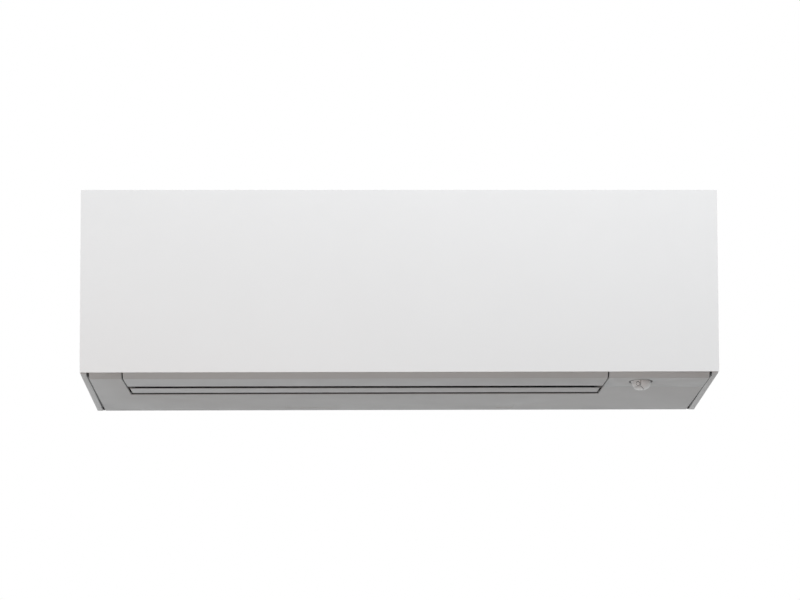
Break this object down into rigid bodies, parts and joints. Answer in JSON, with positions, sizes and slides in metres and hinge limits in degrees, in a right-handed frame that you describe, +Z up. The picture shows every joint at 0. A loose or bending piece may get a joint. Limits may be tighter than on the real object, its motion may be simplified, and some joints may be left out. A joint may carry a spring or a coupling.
{
  "type": "wall-mounted split air conditioner indoor unit",
  "caption": "Flat-fronted wall indoor unit of a split air conditioner with hinged front panel, twin outlet flaps, swinging vanes, cross-flow fan and turning sensor.",
  "frame": {"origin": "centre of the mounting plate's back face, at half the unit's height, on the wall", "axes": "+X to the right along the wall seen from the room, +Y into the wall, +Z up"},
  "size_m": [0.87, 0.229, 0.295],
  "materials": {
    "panel_white": "satin white moulded plastic",
    "side_white": "satin white moulded plastic",
    "underside_grey": "fine matt pale grey moulded plastic",
    "dark_plastic": "dark grey moulded plastic",
    "inner_plastic": "plain off-white moulded plastic",
    "black_plastic": "black moulded plastic",
    "zinc_steel": "galvanised sheet steel",
    "aluminium_fins": "coated aluminium fins",
    "copper_tube": "bare copper tube",
    "brass_fittings": "turned brass",
    "black_rubber": "matt black rubber",
    "circuit_board": "green solder mask",
    "sensor_white": "smooth white plastic",
    "sensor_window": "cloudy grey plastic of an infrared window"
  },
  "bodies": {
    "unit": {"left_side_cover": "side_white", "right_side_cover": "side_white", "top_cover": "side_white", "bottom_cover": "underside_grey", "sensor_cover": "underside_grey", "chassis": "dark_plastic", "motor_bracket": "dark_plastic", "sensor_ring": "dark_plastic", "front_frame": "inner_plastic", "frame_post": "inner_plastic", "drain_pan": "inner_plastic", "fan_motor": "inner_plastic", "control_box": "inner_plastic", "control_box_lid": "inner_plastic", "terminal_block": "black_plastic", "mounting_plate": "zinc_steel", "tube_sheet_left": "zinc_steel", "tube_sheet_right": "zinc_steel", "large_flap_motor": "zinc_steel", "small_flap_motor": "zinc_steel", "sensor_motor": "zinc_steel", "frame_screw_1": "zinc_steel", "frame_screw_2": "zinc_steel", "frame_screw_3": "zinc_steel", "frame_screw_4": "zinc_steel", "coil_front_lower": "aluminium_fins", "coil_front_upper": "aluminium_fins", "coil_rear": "aluminium_fins", "gas_pipe": "copper_tube", "liquid_pipe": "copper_tube", "gas_flare_nut": "brass_fittings", "liquid_flare_nut": "brass_fittings", "fan_bearing": "brass_fittings", "drain_plug": "black_rubber", "bearing_mount": "black_rubber", "air_thermistor": "black_rubber", "control_board": "circuit_board"},
    "front_panel": {"front_panel": "panel_white"},
    "large_flap": {"large_flap": "underside_grey"},
    "small_flap": {"small_flap": "underside_grey"},
    "fan": {"cross_flow_fan": "black_plastic", "fan_shaft": "zinc_steel", "motor_shaft": "zinc_steel"},
    "filter_left": {"filter_left": "dark_plastic"},
    "filter_right": {"filter_right": "dark_plastic"},
    "sensor_turret": {"sensor_turret": "sensor_white", "sensor_lens": "sensor_window"},
    "manual_button": {"manual_button": "sensor_white"},
    "vane_left_1": {"vane_left_1": "dark_plastic"},
    "vane_left_2": {"vane_left_2": "dark_plastic"},
    "vane_left_3": {"vane_left_3": "dark_plastic"},
    "vane_left_4": {"vane_left_4": "dark_plastic"},
    "vane_left_5": {"vane_left_5": "dark_plastic"},
    "link_rod_left": {"link_rod_left": "dark_plastic"},
    "vane_right_1": {"vane_right_1": "dark_plastic"},
    "vane_right_2": {"vane_right_2": "dark_plastic"},
    "vane_right_3": {"vane_right_3": "dark_plastic"},
    "vane_right_4": {"vane_right_4": "dark_plastic"},
    "vane_right_5": {"vane_right_5": "dark_plastic"},
    "link_rod_right": {"link_rod_right": "dark_plastic"}
  },
  "joints": [
    {"name": "front_panel_hinge", "type": "hinge", "parent": "unit", "child": "front_panel", "pos_m": [0, -0.218, 0.142], "axis": [-1, 0, 0], "range_deg": [0, 60]},
    {"name": "large_flap_hinge", "type": "hinge", "parent": "unit", "child": "large_flap", "pos_m": [0, -0.172, -0.11026], "axis": [1, 0, 0], "range_deg": [0, 80]},
    {"name": "small_flap_hinge", "type": "hinge", "parent": "unit", "child": "small_flap", "pos_m": [0, -0.129, -0.1175], "axis": [1, 0, 0], "range_deg": [0, 60]},
    {"name": "fan_spin", "type": "hinge", "parent": "unit", "child": "fan", "pos_m": [0, -0.108, -0.0295], "axis": [1, 0, 0], "continuous": true},
    {"name": "filter_left_lift", "type": "slide", "parent": "unit", "child": "filter_left", "axis": [0, 0, 1], "range_m": [0, 0.06]},
    {"name": "filter_right_lift", "type": "slide", "parent": "unit", "child": "filter_right", "axis": [0, 0, 1], "range_m": [0, 0.06]},
    {"name": "sensor_turn", "type": "hinge", "parent": "unit", "child": "sensor_turret", "pos_m": [0.3325, -0.19, -0.11421], "axis": [0, 0.1726, 0.985], "range_deg": [-70, 70]},
    {"name": "manual_button_press", "type": "slide", "parent": "unit", "child": "manual_button", "axis": [0, 1, 0], "range_m": [0, 0.0012], "stiffness_N_per_m": 400, "springref_m": -0.001},
    {"name": "vane_left_1_swing", "type": "hinge", "parent": "unit", "child": "vane_left_1", "pos_m": [-0.32575, -0.19035, -0.07782], "axis": [0, -0.5705, 0.8213], "range_deg": [-35, 35]},
    {"name": "vane_left_2_swing", "type": "hinge", "parent": "unit", "child": "vane_left_2", "pos_m": [-0.26375, -0.19035, -0.07782], "axis": [0, -0.5705, 0.8213], "range_deg": [-35, 35]},
    {"name": "vane_left_3_swing", "type": "hinge", "parent": "unit", "child": "vane_left_3", "pos_m": [-0.20175, -0.19035, -0.07782], "axis": [0, -0.5705, 0.8213], "range_deg": [-35, 35]},
    {"name": "vane_left_4_swing", "type": "hinge", "parent": "unit", "child": "vane_left_4", "pos_m": [-0.13975, -0.19035, -0.07782], "axis": [0, -0.5705, 0.8213], "range_deg": [-35, 35]},
    {"name": "vane_left_5_swing", "type": "hinge", "parent": "unit", "child": "vane_left_5", "pos_m": [-0.07775, -0.19035, -0.07782], "axis": [0, -0.5705, 0.8213], "range_deg": [-35, 35]},
    {"name": "link_rod_left_shift", "type": "slide", "parent": "unit", "child": "link_rod_left", "axis": [-1, 0, 0], "range_m": [-0.0073, 0.0073]},
    {"name": "vane_right_1_swing", "type": "hinge", "parent": "unit", "child": "vane_right_1", "pos_m": [-0.01575, -0.19035, -0.07782], "axis": [0, -0.5705, 0.8213], "range_deg": [-35, 35]},
    {"name": "vane_right_2_swing", "type": "hinge", "parent": "unit", "child": "vane_right_2", "pos_m": [0.04625, -0.19035, -0.07782], "axis": [0, -0.5705, 0.8213], "range_deg": [-35, 35]},
    {"name": "vane_right_3_swing", "type": "hinge", "parent": "unit", "child": "vane_right_3", "pos_m": [0.10825, -0.19035, -0.07782], "axis": [0, -0.5705, 0.8213], "range_deg": [-35, 35]},
    {"name": "vane_right_4_swing", "type": "hinge", "parent": "unit", "child": "vane_right_4", "pos_m": [0.17025, -0.19035, -0.07782], "axis": [0, -0.5705, 0.8213], "range_deg": [-35, 35]},
    {"name": "vane_right_5_swing", "type": "hinge", "parent": "unit", "child": "vane_right_5", "pos_m": [0.23225, -0.19035, -0.07782], "axis": [0, -0.5705, 0.8213], "range_deg": [-35, 35]},
    {"name": "link_rod_right_shift", "type": "slide", "parent": "unit", "child": "link_rod_right", "axis": [-1, 0, 0], "range_m": [-0.0073, 0.0073]}
  ],
  "couplings": [
    {"joint": "vane_left_1_swing", "follows": "link_rod_left_shift", "rad_per_m": 83.333},
    {"joint": "vane_left_2_swing", "follows": "link_rod_left_shift", "rad_per_m": 83.333},
    {"joint": "vane_left_3_swing", "follows": "link_rod_left_shift", "rad_per_m": 83.333},
    {"joint": "vane_left_4_swing", "follows": "link_rod_left_shift", "rad_per_m": 83.333},
    {"joint": "vane_left_5_swing", "follows": "link_rod_left_shift", "rad_per_m": 83.333},
    {"joint": "vane_right_1_swing", "follows": "link_rod_right_shift", "rad_per_m": 83.333},
    {"joint": "vane_right_2_swing", "follows": "link_rod_right_shift", "rad_per_m": 83.333},
    {"joint": "vane_right_3_swing", "follows": "link_rod_right_shift", "rad_per_m": 83.333},
    {"joint": "vane_right_4_swing", "follows": "link_rod_right_shift", "rad_per_m": 83.333},
    {"joint": "vane_right_5_swing", "follows": "link_rod_right_shift", "rad_per_m": 83.333}
  ]
}
